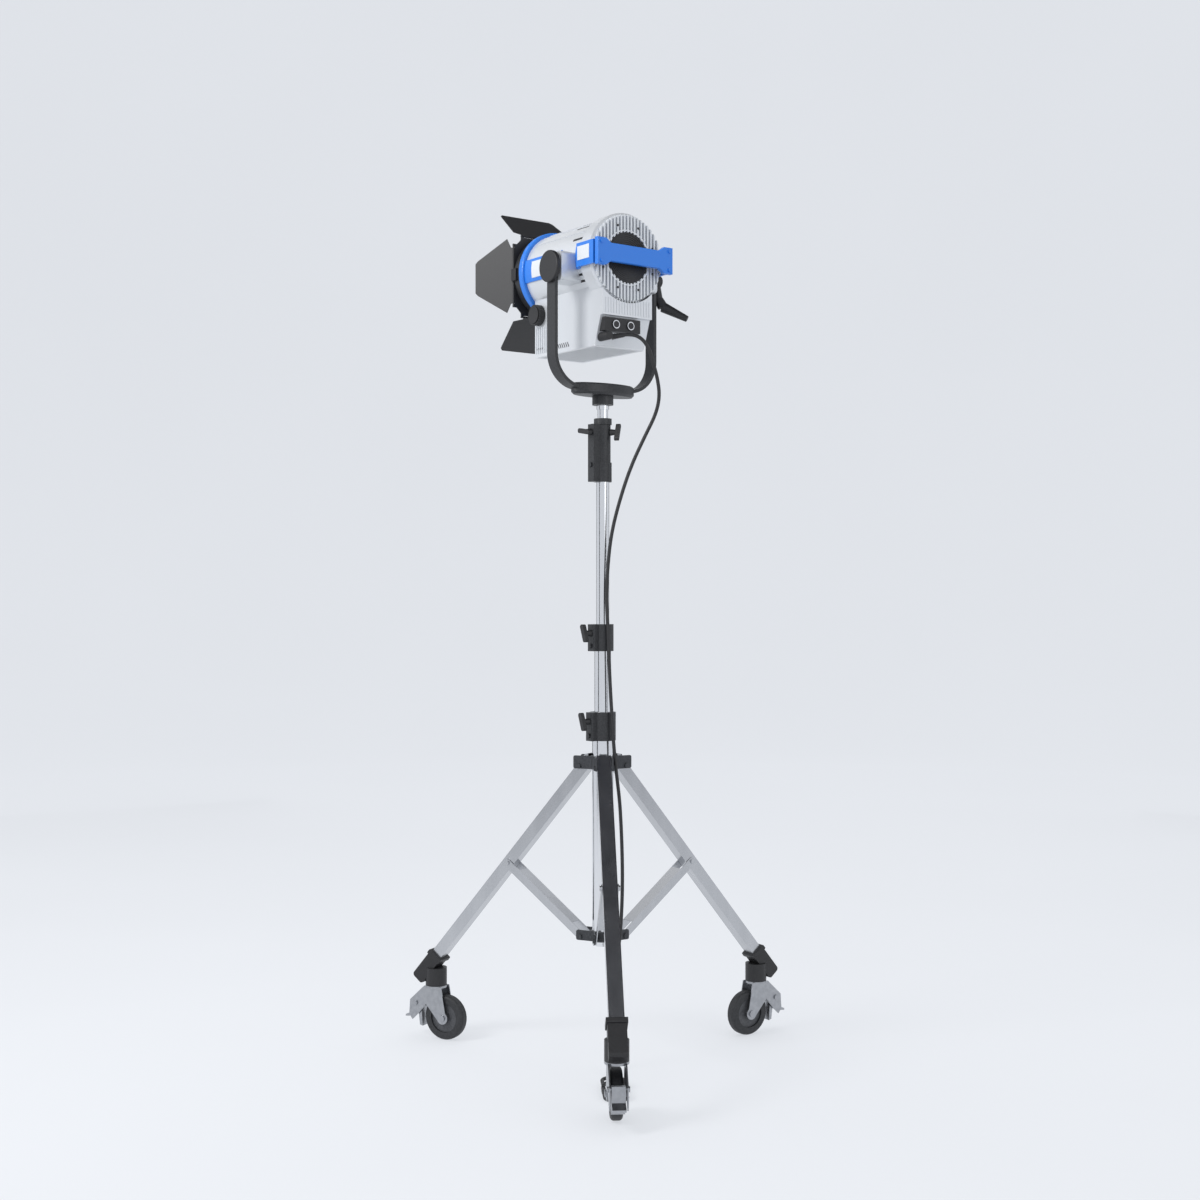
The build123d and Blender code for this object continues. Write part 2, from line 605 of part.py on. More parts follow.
lens_lip = 6.0
with BuildPart() as lens_bezel:
    with BuildSketch(back_plane(bezel_front)):
        Circle(bezel_radius)
    extrude(amount=ring_front - bezel_front)
    for bore, start, end in ((bezel_bore, bezel_front, bezel_step), (lens_radius, bezel_step, lens_back),
                             (lens_radius - lens_lip, lens_back, ring_front)):
        with BuildSketch(back_plane(start)):
            Circle(bore)
        extrude(amount=end - start, mode=Mode.SUBTRACT)
write("lens_bezel", lens_bezel)

# a fresnel lens: a flat back and stepped rings on the front
zone_width, zone_depth = lens_radius / lens_zones, 4.0
with BuildPart() as fresnel_lens:
    with BuildSketch(back_plane(lens_front + zone_depth)):
        Circle(lens_radius)
    extrude(amount=lens_back - lens_front - zone_depth)
    for zone in range(lens_zones):
        outer = (zone + 1) * zone_width - 1.5
        with BuildSketch(back_plane(lens_front)):
            Circle(outer)
            if zone:
                Circle(outer - zone_width + 4.0, mode=Mode.SUBTRACT)
        extrude(amount=zone_depth)
write("fresnel_lens", fresnel_lens)

engine_front, engine_radius, engine_plate, fin_length = -70.0, 100.0, 6.0, 50.0
with BuildPart() as led_engine:
    with BuildSketch(back_plane(engine_front)):
        Circle(engine_radius)
    extrude(amount=engine_plate)
    with BuildSketch(back_plane(engine_front)):
        Circle(38.0)
    extrude(amount=-10.0)
    with BuildSketch(back_plane(engine_front + engine_plate)):
        with GridLocations(12.0, 1, 13, 1):
            Rectangle(3.0, 120.0)
        Circle(flange_bore, mode=Mode.INTERSECT)
    extrude(amount=fin_length)
    with BuildSketch(back_plane(engine_front)):
        with Locations((rod_distance, 0), (-rod_distance, 0)):
            Circle(rod_radius + fit)
    extrude(amount=engine_plate, mode=Mode.SUBTRACT)
write("led_engine", led_engine)

# the finned rear cover, with the fan's grille in its middle
cover_wall, grille_wall, spoke_count = 6.0, 6.0, 6
with BuildPart() as rear_cover:
    with BuildSketch(back_plane(barrel_back)):
        Circle(cover_radius)
    extrude(amount=cover_back - barrel_back)
    chamfer(rear_cover.faces().sort_by(Axis.Y)[-1].edges(), length=5.0)
    with BuildSketch(back_plane(cover_back - cover_wall)):
        with GridLocations(rib_pitch, 1, rib_count, 1):
            Rectangle(rib_width, 2 * cover_radius)
        Circle(cover_radius - cover_wall, mode=Mode.INTERSECT)
    extrude(amount=rib_height + cover_wall)
    with BuildSketch(back_plane(barrel_back)):
        Circle(cover_radius - cover_wall)
    extrude(amount=cover_plate - barrel_back, mode=Mode.SUBTRACT)
    with BuildSketch(back_plane(barrel_back)):
        Circle(fan_radius)
    extrude(amount=cover_back + rib_height - barrel_back, mode=Mode.SUBTRACT)
    with BuildSketch(back_plane(cover_plate)):
        for radius in (18.0, 30.0, 42.0, 54.0, 66.0):
            Circle(radius + 2.0)
            Circle(radius - 1.5, mode=Mode.SUBTRACT)
        Circle(12.0)
        with PolarLocations(fan_radius / 2, spoke_count):
            Rectangle(fan_radius, 4.0)
    extrude(amount=grille_wall)
write("rear_cover", rear_cover)

fan_front, fan_hub_radius, blade_count = 74.0, 22.0, 9
with BuildPart() as fan_rotor:
    with BuildSketch(back_plane(fan_front)):
        Circle(fan_hub_radius)
    extrude(amount=20.0)
    with BuildSketch(back_plane(fan_front + 4.0)):
        with PolarLocations(40.0, blade_count):
            Rectangle(44.0, 9.0, rotation=18.0)
    extrude(amount=5.0)
write("fan_rotor", fan_rotor)

# a flat bar across the back with a wide pad at each end, on the rails' rear ends
handle_plane = back_plane(handle_front).move(Location((0, 0, handle_rise)))
screw_places = [(x * (handle_reach - 12.0), z * (pad_half_height - 10.0)) for x in (1, -1) for z in (1, -1)]
with BuildPart() as rear_handle:
    with BuildSketch(handle_plane):
        Polygon((-handle_reach, -pad_half_height), (-pad_inner, -pad_half_height),
                (-bar_start, -bar_half_height), (bar_start, -bar_half_height),
                (pad_inner, -pad_half_height), (handle_reach, -pad_half_height),
                (handle_reach, pad_half_height), (pad_inner, pad_half_height),
                (bar_start, bar_half_height), (-bar_start, bar_half_height),
                (-pad_inner, pad_half_height), (-handle_reach, pad_half_height), align=None)
    extrude(amount=handle_back - handle_front)
    fillet(rear_handle.faces().sort_by(Axis.Y)[-1].edges(), radius=2.0)
with BuildPart() as handle_screws:
    with BuildSketch(handle_plane.offset(handle_back - handle_front)):
        with Locations(*screw_places):
            Circle(5.0)
    extrude(amount=3.0)
write("rear_handle", rear_handle, handle_screws)

def box_block(half_width, inset=0.0):
    """A block with the side outline of the electronics box, smaller all round by the inset."""
    with BuildPart() as block:
        with BuildSketch(side_plane(-half_width)):
            Polygon((box_front + inset, box_bottom), (box_back - inset, box_bottom),
                    (step_back - inset, step_height), (panel_back - inset, step_height + gap),
                    (panel_back - inset, box_top), (box_front + inset, box_top), align=None)
        extrude(amount=2 * half_width)
    return block

cover_bottom, board_rise, side_rib_count = 3.0, 14.0, 8
with BuildPart() as electronics_box:
    add(box_block(box_half_width).part)
    for side in (1, -1):
        with BuildSketch(side_plane(side * box_half_width, side)):
            with Locations((side * -165.0, 1953.0)):
                with GridLocations(9.0, 1, side_rib_count, 1):
                    Rectangle(4.0, 70.0)
        extrude(amount=2.0)
    add(box_block(box_half_width - box_wall, box_wall).part, mode=Mode.SUBTRACT)
    with BuildSketch(Plane.XY.offset(box_top - 38.0)):
        with Locations((0, (box_front + panel_back) / 2)):
            Rectangle(2 * box_half_width, panel_back - box_front)
    extrude(amount=box_wall)
    for radius, start, end in ((barrel_radius, box_front, barrel_back), (cover_radius, barrel_back, panel_back)):
        with BuildSketch(back_plane(start)):
            Circle(radius)
        extrude(amount=end - start, mode=Mode.SUBTRACT)
    with BuildSketch(side_plane(0)):
        with Locations(knob_place):
            Circle(screw_diameter / 2 + fit)
    extrude(amount=2 * box_half_width, mode=Mode.SUBTRACT)
write("electronics_box", electronics_box)

with BuildPart() as bottom_cover:
    with BuildSketch(Plane.XY.offset(box_bottom)):
        with Locations((0, (box_front + box_back) / 2)):
            RectangleRounded(2 * box_half_width, box_back - box_front, 4.0)
            with GridLocations(1, 9.0, 1, 28):
                SlotOverall(140.0, 4.0, mode=Mode.SUBTRACT)
    extrude(amount=-cover_bottom)
write("bottom_cover", bottom_cover)

with BuildPart() as power_board:
    board_width = 2 * (box_half_width - box_wall)
    with BuildSketch(Plane.XY.offset(box_bottom + board_rise)):
        with Locations((0, -60.0)):
            Rectangle(board_width, 200.0)
    extrude(amount=2.0)
    for x, y, length, width, height in ((-40, -110, 40, 50, 36), (25, -100, 60, 40, 28), (0, -20, 90, 50, 40)):
        with BuildSketch(Plane.XY.offset(box_bottom + board_rise + 2.0)):
            with Locations((x, y)):
                Rectangle(length, width)
        extrude(amount=height)
write("power_board", power_board)

# the socket block on the sloping rear panel
block_span, block_heights, block_depth = (-42.0, 75.0), (1945.0, 1980.0), (70.0, 110.0)
with BuildPart() as connector_block:
    with BuildSketch(side_plane(block_span[0])):
        with Locations((sum(block_depth) / 2, sum(block_heights) / 2)):
            Rectangle(block_depth[1] - block_depth[0], block_heights[1] - block_heights[0])
    extrude(amount=block_span[1] - block_span[0])
    add(box_block(box_half_width).part, mode=Mode.SUBTRACT)
    with BuildSketch(Plane(origin=(0, block_depth[1], sum(block_heights) / 2), x_dir=(-1, 0, 0),
                           z_dir=(0, 1, 0))):
        with Locations((-40.0, 0), (8.0, 0)):
            Circle(11.0)
            Circle(8.0, mode=Mode.SUBTRACT)
    extrude(amount=3.0)
write("connector_block", connector_block)

# the lead's right-angled connector in the panel under the block
connector_place, connector_radius, boot_length = (66.0, 1931.0), 11.5, 16.5
with BuildPart() as lamp_connector:
    with BuildSketch(Plane(origin=(connector_place[0], 70.0, connector_place[1]), x_dir=(-1, 0, 0),
                           z_dir=(0, 1, 0))):
        Circle(connector_radius)
    extrude(amount=50.0)
    fillet(lamp_connector.faces().sort_by(Axis.Y)[-1].edges(), radius=3.0)
    with BuildSketch(side_plane(connector_place[0] - 1.0, -1)):
        with Locations((-108.0, connector_place[1])):
            Circle(9.5)
    extrude(amount=boot_length, taper=11)
    add(box_block(box_half_width).part, mode=Mode.SUBTRACT)
write("lamp_connector", lamp_connector)

with BuildPart() as focus_knob:
    knob_start, knob_shaft = box_half_width + gap, 20.0
    with BuildSketch(side_plane(knob_start - knob_shaft)):
        with Locations(knob_place):
            Circle(screw_diameter / 2)
    extrude(amount=knob_shaft)
    with BuildSketch(side_plane(knob_start)):
        with Locations(knob_place):
            Circle(knob_radius)
            with PolarLocations(knob_radius + 1.0, 24):
                Circle(2.2, mode=Mode.SUBTRACT)
    extrude(amount=knob_depth)
    with BuildSketch(side_plane(knob_start + knob_depth)):
        with Locations(knob_place):
            Circle(knob_radius - 5.0)
    extrude(amount=3.0)
write("focus_knob", focus_knob)

# ---------------------------------------------------------------- barn doors

def turned(turn):
    """The directions out from the optical axis and across, for one side of the frame."""
    t = radians(turn)
    return Vector(cos(t), 0, sin(t)), Vector(-sin(t), 0, cos(t))

door_centre = Vector(0, hinge_y, axis_height)
frame_flat = frame_half - frame_cut
corner_points = [(frame_half, frame_flat), (frame_flat, frame_half), (-frame_flat, frame_half),
                 (-frame_half, frame_flat), (-frame_half, -frame_flat), (-frame_flat, -frame_half),
                 (frame_flat, -frame_half), (frame_half, -frame_flat)]
with BuildPart() as barn_frame:
    with BuildSketch(back_plane(frame_front)):
        Polygon(*corner_points, align=None)
        Circle(frame_bore, mode=Mode.SUBTRACT)
    extrude(amount=frame_thickness)
    # the rim that turns in the bezel's bore
    with BuildSketch(back_plane(frame_front + frame_thickness)):
        Circle(bezel_bore - fit)
        Circle(frame_bore, mode=Mode.SUBTRACT)
    extrude(amount=bezel_step - gap - frame_front - frame_thickness)
    for turn in (0, 90, 180, 270):
        out, across = turned(turn)
        for start in (lug_span[0], -lug_span[1]):
            with BuildSketch(Plane(origin=door_centre + across * start, x_dir=out, z_dir=across)):
                with Locations(((hinge_distance + frame_half - frame_cut / 3) / 2, 0)):
                    Rectangle(hinge_distance - frame_half + frame_cut / 3, frame_thickness)
                with Locations((hinge_distance, 0)):
                    Circle(knuckle_radius)
            extrude(amount=lug_span[1] - lug_span[0])
        with BuildSketch(Plane(origin=door_centre - across * lug_span[0], x_dir=out, z_dir=across)):
            with Locations((hinge_distance, 0)):
                Circle(hinge_pin_radius)
        extrude(amount=2 * lug_span[0])
write("barn_frame", barn_frame)

def barn_leaf(turn, half_edge, half_outer, length, flare):
    """One flared leaf with its hinge barrel, on one side of the frame."""
    out, across = turned(turn)
    hinge = door_centre + out * hinge_distance
    forward = out * sin(radians(flare)) + Vector(0, -cos(radians(flare)), 0)
    sheet = Plane(origin=hinge, x_dir=forward, z_dir=forward.cross(across))
    knuckle = Plane(origin=hinge - across * tongue_half, x_dir=out, z_dir=across)
    tongue, shoulder, corner = 8.0, 20.0, 8.0
    with BuildPart() as leaf:
        with BuildSketch(sheet.offset(-leaf_thickness / 2)):
            Polygon((0, -tongue_half), (tongue, -tongue_half), (shoulder, -half_edge),
                    (length - corner, -half_outer), (length, corner - half_outer),
                    (length, half_outer - corner), (length - corner, half_outer),
                    (shoulder, half_edge), (tongue, tongue_half), (0, tongue_half), align=None)
        extrude(amount=leaf_thickness)
        with BuildSketch(knuckle):
            Circle(knuckle_radius)
        extrude(amount=2 * tongue_half)
        with BuildSketch(knuckle):
            Circle(hinge_pin_radius + fit)
        extrude(amount=2 * tongue_half, mode=Mode.SUBTRACT)
    return leaf

for name, turn, sizes in (("leaf_left", 0, side_leaf), ("leaf_top", 90, cross_leaf),
                          ("leaf_right", 180, side_leaf), ("leaf_bottom", 270, cross_leaf)):
    write(name, barn_leaf(turn, *sizes))

# ---------------------------------------------------------------- mains lead

def lead_radii(points):
    """For each corner of the route, 0.45 of the shorter run over the tangent of half the turn."""
    radii = []
    for before, here, after in zip(points, points[1:], points[2:]):
        run_in, run_out = Vector(*here) - Vector(*before), Vector(*after) - Vector(*here)
        half_turn = radians(run_in.get_angle(run_out)) / 2
        radii.append(0.45 * min(run_in.length, run_out.length) / tan(half_turn))
    return radii

bend_radii = lead_radii(lead_route)
print("lead bend radii, mm:", [round(radius) for radius in bend_radii])
with BuildPart() as power_cable:
    with BuildLine() as lead_line:
        FilletPolyline(*lead_route, radius=bend_radii)
    with BuildSketch(Plane(origin=lead_line.line @ 0, z_dir=lead_line.line % 0)):
        Circle(lead_diameter / 2)
    sweep(path=lead_line.line)
lead_length = lead_line.wires()[0].length
print("lead length, mm:", round(lead_length), "volume over section times length:",
      round(power_cable.part.volume / (pi * lead_diameter**2 / 4 * lead_length), 4))
write("power_cable", power_cable)

with BuildPart() as cable_hank:
    with BuildSketch(Plane.XY):
        with Locations(hank_center):
            SlotOverall(hank_length, hank_width, rotation=hank_azimuth)
    extrude(amount=hank_height)
write("cable_hank", cable_hank)

with BuildPart() as mains_plug:
    with BuildSketch(Plane.XY.offset(hank_height)):
        with Locations(hank_center):
            RectangleRounded(plug_length, plug_width, 10.0, rotation=hank_azimuth)
    extrude(amount=plug_height)
write("mains_plug", mains_plug)
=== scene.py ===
from math import cos, pi, radians, sin

import bmesh
import bpy
from mathutils import Matrix, Vector


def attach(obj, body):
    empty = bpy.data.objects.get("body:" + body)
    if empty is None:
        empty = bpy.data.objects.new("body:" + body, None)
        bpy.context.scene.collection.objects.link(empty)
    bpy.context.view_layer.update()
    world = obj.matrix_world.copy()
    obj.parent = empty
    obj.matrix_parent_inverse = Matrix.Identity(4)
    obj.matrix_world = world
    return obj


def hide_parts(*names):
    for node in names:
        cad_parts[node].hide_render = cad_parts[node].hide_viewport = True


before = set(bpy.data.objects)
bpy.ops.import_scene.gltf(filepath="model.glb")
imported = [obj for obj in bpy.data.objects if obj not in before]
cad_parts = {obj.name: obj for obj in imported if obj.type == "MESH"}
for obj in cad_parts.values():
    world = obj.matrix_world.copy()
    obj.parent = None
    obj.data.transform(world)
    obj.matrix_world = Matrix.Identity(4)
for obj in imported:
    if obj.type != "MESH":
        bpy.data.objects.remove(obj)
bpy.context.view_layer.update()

# ---------------------------------------------------------------- camera, floor and light
TO_CAMERA = Vector((0.5948, 0.8039, 0.0))
IMAGE_RIGHT = Vector((-0.8039, 0.5948, 0.0))

camera_data = bpy.data.cameras.new("camera")
camera = bpy.data.objects.new("camera", camera_data)
bpy.context.scene.collection.objects.link(camera)
camera.location = (2.6114, 3.5164, 1.24)
camera.rotation_euler = (radians(90), 0, radians(143.5))
camera_data.lens = 48.84
camera_data.sensor_width = 36
camera_data.clip_end = 100
bpy.context.scene.camera = camera
bpy.context.scene.view_settings.view_transform = "Standard"


def nodes_of(name):
    """A new node material, with its tree and its shader."""
    mat = bpy.data.materials.new(name)
    mat.use_nodes = True
    tree = mat.node_tree
    shader = tree.nodes["Principled BSDF"]
    return mat, tree, shader


def finish_material(name, dark, light, metallic=0.0, roughness=0.4, scale=30.0, bump=0.05, stretch=(1, 1, 1),
                    detail=4.0, coat=0.0):
    """A surface whose colour, sheen and height vary with noise over the object's own space."""
    mat, tree, shader = nodes_of(name)
    place = tree.nodes.new("ShaderNodeTexCoord")
    mapping = tree.nodes.new("ShaderNodeMapping")
    mapping.inputs["Scale"].default_value = stretch
    noise = tree.nodes.new("ShaderNodeTexNoise")
    noise.inputs["Scale"].default_value = scale
    noise.inputs["Detail"].default_value = detail
    ramp = tree.nodes.new("ShaderNodeValToRGB")
    ramp.color_ramp.elements[0].position = 0.35
    ramp.color_ramp.elements[1].position = 0.65
    ramp.color_ramp.elements[0].color = (*dark, 1)
    ramp.color_ramp.elements[1].color = (*light, 1)
    sheen = tree.nodes.new("ShaderNodeMapRange")
    sheen.inputs["To Min"].default_value = roughness * 0.85
    sheen.inputs["To Max"].default_value = roughness * 1.15
    height = tree.nodes.new("ShaderNodeBump")
    height.inputs["Strength"].default_value = bump
    height.inputs["Distance"].default_value = 0.001
    link = tree.links.new
    link(place.outputs["Object"], mapping.inputs["Vector"])
    link(mapping.outputs["Vector"], noise.inputs["Vector"])
    link(noise.outputs["Fac"], ramp.inputs["Fac"])
    link(ramp.outputs["Color"], shader.inputs["Base Color"])
    link(noise.outputs["Fac"], sheen.inputs["Value"])
    link(sheen.outputs["Result"], shader.inputs["Roughness"])
    link(noise.outputs["Fac"], height.inputs["Height"])
    link(height.outputs["Normal"], shader.inputs["Normal"])
    shader.inputs["Metallic"].default_value = metallic
    shader.inputs["Coat Weight"].default_value = coat
    return mat


CHROME = finish_material("chrome_tube", (0.74, 0.75, 0.77), (0.78, 0.79, 0.81), 1.0, 0.13, 40, 0.0, (1, 1, 0.05))
STEEL = finish_material("leg_steel", (0.50, 0.51, 0.53), (0.54, 0.55, 0.57), 1.0, 0.26, 25, 0.0, (1, 1, 0.1))
ZINC = finish_material("zinc", (0.36, 0.37, 0.39), (0.42, 0.43, 0.45), 1.0, 0.34, 90, 0.02)
CAST_BLACK = finish_material("black_casting", (0.012, 0.013, 0.015), (0.028, 0.029, 0.032), 0.0, 0.42, 260, 0.25)
GREY_CAST = finish_material("dark_casting", (0.03, 0.032, 0.036), (0.055, 0.058, 0.064), 0.3, 0.45, 260, 0.25)
PLASTIC = finish_material("black_plastic", (0.010, 0.010, 0.011), (0.020, 0.020, 0.022), 0.0, 0.48, 400, 0.15)
SILVER = finish_material("silver_paint", (0.64, 0.66, 0.69), (0.70, 0.72, 0.74), 0.45, 0.36, 700, 0.04, coat=0.15)
BLUE = finish_material("blue_paint", (0.012, 0.155, 0.60), (0.018, 0.19, 0.70), 0.0, 0.38, 500, 0.05, coat=0.2)
RUBBER = finish_material("tyre_rubber", (0.016, 0.017, 0.019), (0.030, 0.031, 0.034), 0.0, 0.6, 200, 0.2)
HUB = finish_material("hub_plastic", (0.05, 0.052, 0.057), (0.08, 0.083, 0.09), 0.0, 0.45, 200, 0.1)
LEAF = finish_material("leaf_paint", (0.014, 0.014, 0.015), (0.024, 0.024, 0.026), 0.0, 0.5, 500, 0.12)
CORD = finish_material("cord_rubber", (0.010, 0.010, 0.011), (0.020, 0.020, 0.022), 0.0, 0.5, 300, 0.1)
BOARD = finish_material("circuit_board", (0.01, 0.08, 0.03), (0.02, 0.12, 0.05), 0.0, 0.4, 100, 0.1)
BRASS = finish_material("plug_pins", (0.62, 0.50, 0.26), (0.72, 0.58, 0.32), 1.0, 0.25, 90, 0.02)

GLASS, glass_tree, glass_shader = nodes_of("lens_glass")
glass_shader.inputs["Transmission Weight"].default_value = 0.9
glass_shader.inputs["Roughness"].default_value = 0.05
glass_noise = glass_tree.nodes.new("ShaderNodeTexNoise")
glass_noise.inputs["Scale"].default_value = 20.0
glass_ramp = glass_tree.nodes.new("ShaderNodeValToRGB")
glass_ramp.color_ramp.elements[0].color = (0.86, 0.92, 0.95, 1)
glass_ramp.color_ramp.elements[1].color = (0.95, 0.98, 1.0, 1)
glass_tree.links.new(glass_noise.outputs["Fac"], glass_ramp.inputs["Fac"])
glass_tree.links.new(glass_ramp.outputs["Color"], glass_shader.inputs["Base Color"])

LIGHT_SOURCE = finish_material("led_surface", (0.75, 0.72, 0.45), (0.85, 0.82, 0.55), 0.0, 0.4, 300, 0.05)

FINISHES = {
    "column_tube": CHROME, "riser_lower": CHROME, "riser_upper": CHROME, "spigot": CHROME,
    "column_clamp": CAST_BLACK, "riser_clamp": CAST_BLACK, "receiver": CAST_BLACK,
    "column_clamp_handle": PLASTIC, "riser_clamp_handle": PLASTIC, "receiver_knob": PLASTIC,
    "spigot_lock_knob": PLASTIC, "leg_bracket": GREY_CAST, "brace_collar": GREY_CAST,
    "yoke_frame": CAST_BLACK, "yoke_plate": CAST_BLACK, "yoke_hub": PLASTIC, "tilt_lever": PLASTIC,
    "barrel": SILVER, "side_rails": BLUE, "rear_handle": BLUE, "lens_bezel": CAST_BLACK,
    "fresnel_lens": GLASS, "led_engine": ZINC, "rear_cover": SILVER, "fan_rotor": PLASTIC,
    "electronics_box": SILVER, "bottom_cover": SILVER, "power_board": BOARD,
    "connector_block": PLASTIC, "lamp_connector": PLASTIC, "focus_knob": PLASTIC,
    "barn_frame": LEAF, "leaf_left": LEAF, "leaf_right": LEAF, "leaf_top": LEAF, "leaf_bottom": LEAF,
}
for number in (1, 2, 3):
    FINISHES.update({
        f"leg_{number}": STEEL, f"brace_{number}": STEEL, f"leg_cap_{number}": PLASTIC,
        f"caster_fork_{number}": ZINC, f"caster_hub_{number}": HUB, f"caster_tyre_{number}": RUBBER,
        f"brake_pedal_{number}": ZINC,
    })
for name, finish in FINISHES.items():
    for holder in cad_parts[name].material_slots:
        holder.material = finish


def stage_mesh(name, verts, faces, mat, smooth=True):
    """A mesh that belongs to the studio and not to the lamp."""
    mesh = bpy.data.meshes.new(name)
    mesh.from_pydata(verts, [], faces)
    mesh.materials.append(mat)
    for face in mesh.polygons:
        face.use_smooth = smooth
    obj = bpy.data.objects.new(name, mesh)
    bpy.context.scene.collection.objects.link(obj)
    return obj


# a round studio: a pale floor that curves up into a wall on every side
FLOOR_RADIUS, CURVE_RADIUS, WALL_HEIGHT, SEGMENTS = 8.0, 4.0, 9.0, 96
PALE = finish_material("studio_floor", (0.20, 0.204, 0.21), (0.21, 0.214, 0.22), 0.0, 0.9, 0.5, 0.0)
# a faint glow of its own keeps the studio even, and its shadows soft
pale_shader = PALE.node_tree.nodes["Principled BSDF"]
pale_shader.inputs["Emission Color"].default_value = (0.55, 0.568, 0.60, 1)
pale_shader.inputs["Emission Strength"].default_value = 1.0
profile = [(0.001, 0.0), (2.0, 0.0), (4.0, 0.0), (FLOOR_RADIUS, 0.0)]
for step in range(1, 13):
    turn = step / 12 * pi / 2
    profile.append((FLOOR_RADIUS + CURVE_RADIUS * sin(turn), CURVE_RADIUS * (1 - cos(turn))))
profile.append((FLOOR_RADIUS + CURVE_RADIUS, WALL_HEIGHT))
verts, faces = [], []
for radius, height in profile:
    for step in range(SEGMENTS):
        turn = step / SEGMENTS * 2 * pi
        verts.append((radius * cos(turn), radius * sin(turn), height))
for ring in range(len(profile) - 1):
    for step in range(SEGMENTS):
        after = (step + 1) % SEGMENTS
        faces.append((ring * SEGMENTS + step, ring * SEGMENTS + after, (ring + 1) * SEGMENTS + after,
                      (ring + 1) * SEGMENTS + step))
stage_mesh("studio", verts, faces, PALE)


def only_reflected(card):
    """Shows a card in reflections and nowhere else."""
    card.visible_camera = False
    card.visible_diffuse = False
    card.visible_shadow = False
    card.visible_transmission = False


# dark cards that only show as reflections in the polished tubes and on the leg that faces the camera
DARK = finish_material("dark_card", (0.02, 0.02, 0.025), (0.03, 0.03, 0.035), 0.0, 0.9, 1.0, 0.0)
CARD_DISTANCE, CARD_TOP = 6.0, Vector((0, 0, 4))
for name, angle, width in (("card_left", 62, 1.3), ("card_right", -62, 1.0), ("card_back_left", 150, 2.2),
                           ("card_back_right", -140, 1.8)):
    turn = radians(angle)
    centre = TO_CAMERA * (CARD_DISTANCE * cos(turn)) - IMAGE_RIGHT * (CARD_DISTANCE * sin(turn))
    side = Vector((-centre.y, centre.x, 0)).normalized() * width / 2
    card = stage_mesh(name, [centre - side, centre + side, centre + side + CARD_TOP,
                             centre - side + CARD_TOP], [(0, 1, 2, 3)], DARK)
    only_reflected(card)

CEILING_HALF, CEILING_HEIGHT = 4, 5.2
ceiling = stage_mesh("card_ceiling", [(x * CEILING_HALF, y * CEILING_HALF, CEILING_HEIGHT) for x, y in
                                      ((-1, -1), (1, -1), (1, 1), (-1, 1))], [(0, 1, 2, 3)], DARK)
only_reflected(ceiling)

world = bpy.data.worlds.new("studio_world")
bpy.context.scene.world = world
world.use_nodes = True
world.node_tree.nodes["Background"].inputs["Color"].default_value = (0.97, 0.98, 1.0, 1)
world.node_tree.nodes["Background"].inputs["Strength"].default_value = 1.0


def area_light(name, place, target, size, power):
    """A soft square light aimed at a point."""
    data = bpy.data.lights.new(name, "AREA")
    data.size = size
    data.energy = power
    lamp = bpy.data.objects.new(name, data)
    bpy.context.scene.collection.objects.link(lamp)
    lamp.location = place
    lamp.rotation_euler = (Vector(target) - Vector(place)).to_track_quat("-Z", "Y").to_euler()
    return lamp


area_light("key", -IMAGE_RIGHT * 3.2 + TO_CAMERA * 1.8 + Vector((0, 0, 3.6)), (0, 0, 1.0), 1.4, 105)
area_light("fill", IMAGE_RIGHT * 3.5 + TO_CAMERA * 3.0 + Vector((0, 0, 3.0)), (0, 0, 1.2), 3.0, 30)
top_light = area_light("top", TO_CAMERA * -1.0 + Vector((0, 0, 5.5)), (0, 0, 1.0), 4.0, 45)
top_light.visible_glossy = False

# ---------------------------------------------------------------- mains lead
LEAD_DIAMETER = 0.0095
LEAD_ROUTE = [
    (44, 108, 1931), (17, 128, 1938), (-14, 147, 1931), (-37, 155, 1901), (-50, 154, 1866),
    (-68, 150, 1828), (-82, 143, 1781), (-81, 128, 1734), (-63, 104, 1677), (-37, 76, 1597),
    (-16, 54, 1507), (-1, 37, 1419), (5, 29, 1333), (9, 28, 1246), (11, 37, 1172),
    (9, 39, 1101), (6, 40, 1021), (4, 46, 933), (1, 49, 862), (-8, 48, 786),
    (-16, 54, 706), (-17, 60, 627), (-15, 67, 548), (-10, 74, 475), (-2, 81, 413),
    (9, 89, 352), (20, 90, 296), (28, 86, 242), (32, 79, 190), (33, 74, 140),
    (34, 74, 94), (42, 86, 52), (58, 111, 22), (79, 144, 5.4),
]
HANK_CENTRE, HANK_ANGLE = Vector((0.145, 0.245, 0.0)), radians(57)
ALONG = Vector((cos(HANK_ANGLE), sin(HANK_ANGLE), 0))
ACROSS = Vector((-ALONG.y, ALONG.x, 0))
# the hank, in mm: its straight runs, and an eight-sided bend at each end that rounds off to a half turn
HANK_RUN, HANK_HALF_WIDTH, HANK_BEND = 41.4, 28.0, 11.6
HANK_CORNER = HANK_RUN + 2 * HANK_BEND
HANK_TIP = HANK_CORNER + 16.4
FIRST_LAYER, SECOND_LAYER = 4.9, 14.7


def hank_bend(end, side, heights):
    """The four corners of the bend at one end (1 or -1) of the hank, entered from one side."""
    corners = ((HANK_CORNER, HANK_HALF_WIDTH), (HANK_TIP, HANK_BEND), (HANK_TIP, -HANK_BEND),
               (HANK_CORNER, -HANK_HALF_WIDTH))
    return [(end * u, side * v, z) for (u, v), z in zip(corners, heights)]


